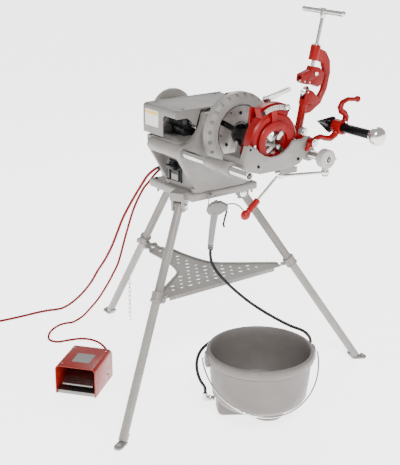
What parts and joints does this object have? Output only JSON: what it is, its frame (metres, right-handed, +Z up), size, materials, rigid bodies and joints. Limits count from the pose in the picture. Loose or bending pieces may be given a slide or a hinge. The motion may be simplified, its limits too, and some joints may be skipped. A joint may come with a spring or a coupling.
{
  "type": "pipe threading machine",
  "caption": "Electric pipe threading machine on a folding tripod stand, with chuck, carriage, die head, cutter, reamer, oiler bucket with hand gun, and foot switch.",
  "frame": {"origin": "floor level, centre of the floor box around the machine, stand, bucket and foot switch without the cords", "axes": "+X along the spindle from the chuck towards the carriage and the end of the rails, +Y across the machine away from the switch side, +Z up"},
  "size_m": [1.4263, 1.0569, 1.2108],
  "materials": {
    "black_enamel": "black enamel",
    "black_oxide": "black oxide",
    "black_plastic": "satin",
    "black_rubber": "satin",
    "bright_steel": "polished steel",
    "bronze": "plain bronze",
    "bucket_plastic": "moulded grey plastic",
    "cast_paint": "light grey paint on castings",
    "chuck_face": "grey machined face",
    "clamp_paint": "pale grey paint",
    "cord_red": "dark red sheath",
    "dark_steel": "dark phosphate",
    "die_steel": "ground tool steel",
    "grip_red": "glossy red",
    "gun_plastic": "moulded grey plastic",
    "oiled_steel": "ground and oiled",
    "ring_paint": "light grey paint",
    "stand_paint": "light grey paint",
    "switch_orange": "orange-red gloss paint",
    "tool_red": "deep red gloss paint"
  },
  "bodies": {
    "stand_and_base": {"stand_top": "stand_paint", "leg_end": "stand_paint", "leg_front": "stand_paint", "leg_back": "stand_paint", "tray": "stand_paint", "base_housing": "cast_paint", "motor_cover": "cast_paint", "motor": "black_enamel", "switch_plate": "black_plastic", "cord_gland": "black_rubber", "rail_front": "bright_steel", "rail_rear": "bright_steel", "rail_clamp": "clamp_paint", "front_bearing": "bronze", "rear_bearing": "bronze", "bucket": "bucket_plastic", "hose_fitting": "bright_steel", "gun_body": "gun_plastic", "oil_hose": "black_rubber", "foot_switch_cover": "switch_orange", "foot_switch_base": "dark_steel", "power_cord": "cord_red", "foot_switch_cord": "cord_red", "power_cord_coil": "cord_red", "power_plug": "black_rubber"},
    "chain": {"leg_chain": "bright_steel"},
    "switch_knob": {"switch_knob": "black_plastic"},
    "motor_pinion": {"motor_pinion": "oiled_steel"},
    "spindle": {"spindle_tube": "oiled_steel", "spindle_gear": "oiled_steel", "chuck_body": "chuck_face"},
    "hammer_ring": {"hammer_ring": "ring_paint"},
    "jaw_1": {"chuck_jaw_1": "black_oxide"},
    "jaw_2": {"chuck_jaw_2": "black_oxide"},
    "jaw_3": {"chuck_jaw_3": "black_oxide"},
    "rear_wheel": {"rear_wheel": "ring_paint"},
    "carriage": {"carriage": "cast_paint"},
    "lever": {"carriage_lever": "bright_steel", "lever_grip": "grip_red"},
    "die_head": {"die_head": "tool_red"},
    "throw_lever": {"throw_lever": "bright_steel", "cam_plate": "tool_red"},
    "die_1": {"die_1": "die_steel"},
    "die_2": {"die_2": "die_steel"},
    "die_3": {"die_3": "die_steel"},
    "die_4": {"die_4": "die_steel"},
    "cutter": {"cutter_frame": "tool_red"},
    "cutter_slide": {"cutter_slide": "tool_red"},
    "cutter_screw": {"cutter_screw": "bright_steel"},
    "cutter_wheel": {"cutter_wheel": "bright_steel"},
    "cutter_roller_1": {"cutter_roller_1": "bright_steel"},
    "cutter_roller_2": {"cutter_roller_2": "bright_steel"},
    "reamer_arm": {"reamer_arm": "tool_red"},
    "reamer": {"reamer_shaft": "black_oxide", "reamer_cone": "black_oxide", "reamer_knob": "bright_steel"},
    "bucket_bail": {"bucket_bail": "bright_steel"},
    "gun_trigger": {"gun_trigger": "black_plastic"},
    "foot_pedal": {"foot_pedal": "dark_steel"}
  },
  "joints": [
    {"name": "chain_swing", "type": "hinge", "parent": "stand_and_base", "child": "chain", "pos_m": [-0.3997, 0, 0.178], "axis": [0, 1, 0], "range_deg": [-20, 25]},
    {"name": "switch_turn", "type": "hinge", "parent": "stand_and_base", "child": "switch_knob", "pos_m": [0.0333, -0.1046, 0.725], "axis": [0, -1, 0], "range_deg": [-45, 45]},
    {"name": "spindle_spin", "type": "hinge", "parent": "stand_and_base", "child": "spindle", "pos_m": [0.0143, 0, 0.853], "axis": [1, 0, 0], "continuous": true},
    {"name": "motor_spin", "type": "hinge", "parent": "stand_and_base", "child": "motor_pinion", "pos_m": [0.0883, -0.06422, 0.86783], "axis": [1, 0, 0], "continuous": true},
    {"name": "ring_turn", "type": "hinge", "parent": "spindle", "child": "hammer_ring", "pos_m": [0.2043, 0, 0.853], "axis": [1, 0, 0], "range_deg": [-30, 30]},
    {"name": "jaw_1_travel", "type": "slide", "parent": "spindle", "child": "jaw_1", "axis": [0, -0.866, 0.5], "range_m": [-0.0083, 0.0083]},
    {"name": "jaw_2_travel", "type": "slide", "parent": "spindle", "child": "jaw_2", "axis": [0, 0, -1], "range_m": [-0.0083, 0.0083]},
    {"name": "jaw_3_travel", "type": "slide", "parent": "spindle", "child": "jaw_3", "axis": [0, 0.866, 0.5], "range_m": [-0.0083, 0.0083]},
    {"name": "rear_wheel_turn", "type": "hinge", "parent": "spindle", "child": "rear_wheel", "pos_m": [-0.1307, 0, 0.853], "axis": [1, 0, 0], "range_deg": [-60, 60]},
    {"name": "carriage_travel", "type": "slide", "parent": "stand_and_base", "child": "carriage", "axis": [1, 0, 0], "range_m": [-0.06, 0]},
    {"name": "lever_swing", "type": "hinge", "parent": "stand_and_base", "child": "lever", "pos_m": [0.4343, 0.15, 0.754], "axis": [0, 0, 1], "range_deg": [-32, 0]},
    {"name": "die_head_swing", "type": "hinge", "parent": "carriage", "child": "die_head", "pos_m": [0.3593, 0.1135, 0.845], "axis": [-1, 0, 0], "range_deg": [0, 65]},
    {"name": "throw_lever_turn", "type": "hinge", "parent": "die_head", "child": "throw_lever", "pos_m": [0.3343, 0, 0.853], "axis": [-1, 0, 0], "range_deg": [0, 38]},
    {"name": "die_1_travel", "type": "slide", "parent": "die_head", "child": "die_1", "axis": [0, 0.7071, 0.7071], "range_m": [-0.0005, 0.0045]},
    {"name": "die_2_travel", "type": "slide", "parent": "die_head", "child": "die_2", "axis": [0, -0.7071, 0.7071], "range_m": [-0.0005, 0.0045]},
    {"name": "die_3_travel", "type": "slide", "parent": "die_head", "child": "die_3", "axis": [0, -0.7071, -0.7071], "range_m": [-0.0005, 0.0045]},
    {"name": "die_4_travel", "type": "slide", "parent": "die_head", "child": "die_4", "axis": [0, 0.7071, -0.7071], "range_m": [-0.0005, 0.0045]},
    {"name": "cutter_swing", "type": "hinge", "parent": "carriage", "child": "cutter", "pos_m": [0.2993, 0.165, 0.85], "axis": [1, 0, 0], "range_deg": [0, 72]},
    {"name": "cutter_feed", "type": "slide", "parent": "cutter", "child": "cutter_slide", "axis": [0, 0.2233, 0.9748], "range_m": [-0.0025, 0.0095]},
    {"name": "cutter_screw_turn", "type": "hinge", "parent": "cutter_slide", "child": "cutter_screw", "pos_m": [0.2993, 0.24492, 1.19897], "axis": [0, 0.2233, 0.9748], "range_deg": [-240, 1000]},
    {"name": "cutter_wheel_spin", "type": "hinge", "parent": "cutter", "child": "cutter_wheel", "pos_m": [0.2993, 0.18561, 0.96685], "axis": [1, 0, 0], "continuous": true},
    {"name": "cutter_roller_1_spin", "type": "hinge", "parent": "cutter_slide", "child": "cutter_roller_1", "pos_m": [0.2993, 0.16977, 1.00074], "axis": [1, 0, 0], "continuous": true},
    {"name": "cutter_roller_2_spin", "type": "hinge", "parent": "cutter_slide", "child": "cutter_roller_2", "pos_m": [0.2993, 0.18927, 0.99627], "axis": [1, 0, 0], "continuous": true},
    {"name": "reamer_swing", "type": "hinge", "parent": "carriage", "child": "reamer_arm", "pos_m": [0.4118, 0.1135, 0.845], "axis": [-1, 0, 0], "range_deg": [-90, 0]},
    {"name": "reamer_push", "type": "slide", "parent": "reamer_arm", "child": "reamer", "axis": [-1, 0, 0], "range_m": [0, 0.06]},
    {"name": "bail_swing", "type": "hinge", "parent": "stand_and_base", "child": "bucket_bail", "pos_m": [0.3953, -0.047, 0.206], "axis": [-0.4695, -0.8829, 0], "range_deg": [0, 162]},
    {"name": "trigger_pull", "type": "hinge", "parent": "stand_and_base", "child": "gun_trigger", "pos_m": [0.18163, -0.01738, 0.6125], "axis": [-0.809, 0.5878, 0], "range_deg": [0, 12], "stiffness_Nm_per_rad": 0.3, "springref_deg": -8.59},
    {"name": "pedal_press", "type": "hinge", "parent": "stand_and_base", "child": "foot_pedal", "pos_m": [-0.12575, -0.33898, 0.046], "axis": [0.7826, 0.6225, 0], "range_deg": [-6, 0], "stiffness_Nm_per_rad": 10, "springref_deg": 14.32}
  ],
  "couplings": [
    {"joint": "motor_spin", "follows": "spindle_spin", "ratio": -3},
    {"joint": "jaw_1_travel", "follows": "ring_turn", "m_per_rad": 0.0155},
    {"joint": "jaw_2_travel", "follows": "ring_turn", "m_per_rad": 0.0155},
    {"joint": "jaw_3_travel", "follows": "ring_turn", "m_per_rad": 0.0155},
    {"joint": "lever_swing", "follows": "carriage_travel", "rad_per_m": 8.99},
    {"joint": "die_1_travel", "follows": "throw_lever_turn", "m_per_rad": 0.0065},
    {"joint": "die_2_travel", "follows": "throw_lever_turn", "m_per_rad": 0.0065},
    {"joint": "die_3_travel", "follows": "throw_lever_turn", "m_per_rad": 0.0065},
    {"joint": "die_4_travel", "follows": "throw_lever_turn", "m_per_rad": 0.0065},
    {"joint": "cutter_feed", "follows": "cutter_screw_turn", "m_per_rad": 0.000477}
  ]
}
